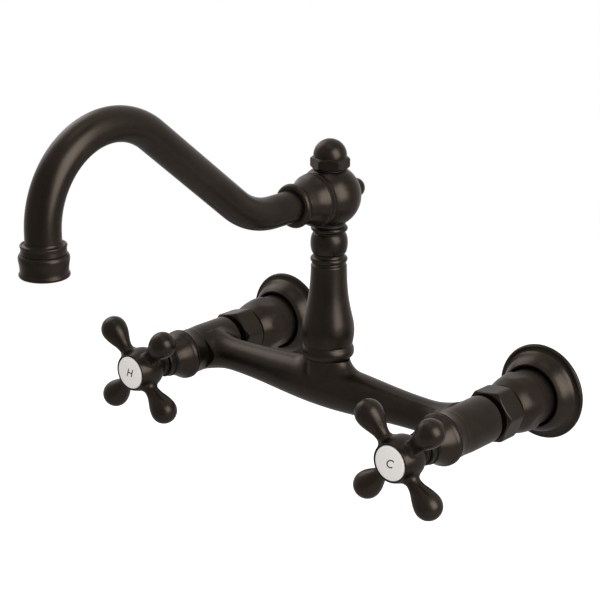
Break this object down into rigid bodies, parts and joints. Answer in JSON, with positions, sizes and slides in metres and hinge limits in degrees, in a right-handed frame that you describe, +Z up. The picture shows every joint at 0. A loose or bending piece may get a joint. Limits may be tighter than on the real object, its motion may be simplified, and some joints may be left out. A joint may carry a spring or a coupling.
{
  "type": "wall-mounted bridge faucet",
  "caption": "Wall-mounted bridge faucet for a vessel sink with cross handles, a turned column and a high arched swivel spout in a dark oil-rubbed bronze finish.",
  "frame": {"origin": "on the wall, halfway between the two inlet axes", "axes": "+X towards the cold side, -Y out of the wall, +Z up; the valve axes lie in the plane z = 0"},
  "size_m": [0.262, 0.3239, 0.2273],
  "materials": {
    "bronze": "dark oil-rubbed bronze coating, satin",
    "dark_bronze": "near-black bronze coating, satin",
    "bare_brass": "machined, bare",
    "steel": "stainless, plain",
    "rubber": "moulded, matt",
    "porcelain": "white, glazed",
    "alumina": "lapped",
    "white_plastic": "moulded, pale grey",
    "black_plastic": "moulded, black"
  },
  "bodies": {
    "faucet_body": {"bridge_body": "bronze", "column": "bronze", "swivel_post": "bare_brass", "post_orings": "rubber", "thrust_washer": "black_plastic", "cap_washer": "black_plastic", "cap_nut": "bronze", "hot_wall_flange": "bronze", "hot_inlet_connector": "bronze", "hot_union_nut": "bronze", "hot_union_washer": "rubber", "hot_tailpiece": "bronze", "hot_seat_seal": "rubber", "hot_fixed_disc": "alumina", "hot_cartridge_body": "bare_brass", "hot_bonnet": "bronze", "hot_ring_nut": "dark_bronze", "cold_wall_flange": "bronze", "cold_inlet_connector": "bronze", "cold_union_nut": "bronze", "cold_union_washer": "rubber", "cold_tailpiece": "bronze", "cold_seat_seal": "rubber", "cold_fixed_disc": "alumina", "cold_cartridge_body": "bare_brass", "cold_bonnet": "bronze", "cold_ring_nut": "dark_bronze"},
    "spout": {"spout_ball": "bronze", "ball_plug": "bronze", "spout_gasket": "rubber", "spout_cap": "bronze", "spout_collar": "bronze", "spout_tube": "bronze", "outlet_collar": "bronze", "outlet_shell": "bronze", "aerator_washer": "rubber", "aerator_insert": "white_plastic"},
    "hot_control": {"hot_handle": "bronze", "hot_handle_screw": "steel", "hot_index_button": "porcelain", "hot_stem": "bare_brass", "hot_stem_orings": "rubber", "hot_moving_disc": "alumina"},
    "cold_control": {"cold_handle": "bronze", "cold_handle_screw": "steel", "cold_index_button": "porcelain", "cold_stem": "bare_brass", "cold_stem_orings": "rubber", "cold_moving_disc": "alumina"}
  },
  "joints": [
    {"name": "spout_swivel", "type": "hinge", "parent": "faucet_body", "child": "spout", "pos_m": [0, -0.079, 0.1178], "axis": [0, 0, 1], "range_deg": [-100, 100]},
    {"name": "hot_handle_turn", "type": "hinge", "parent": "faucet_body", "child": "hot_control", "pos_m": [-0.1016, -0.1382, 0], "axis": [0, -1, 0], "range_deg": [0, 90]},
    {"name": "cold_handle_turn", "type": "hinge", "parent": "faucet_body", "child": "cold_control", "pos_m": [0.1016, -0.1382, 0], "axis": [0, -1, 0], "range_deg": [-90, 0]}
  ]
}
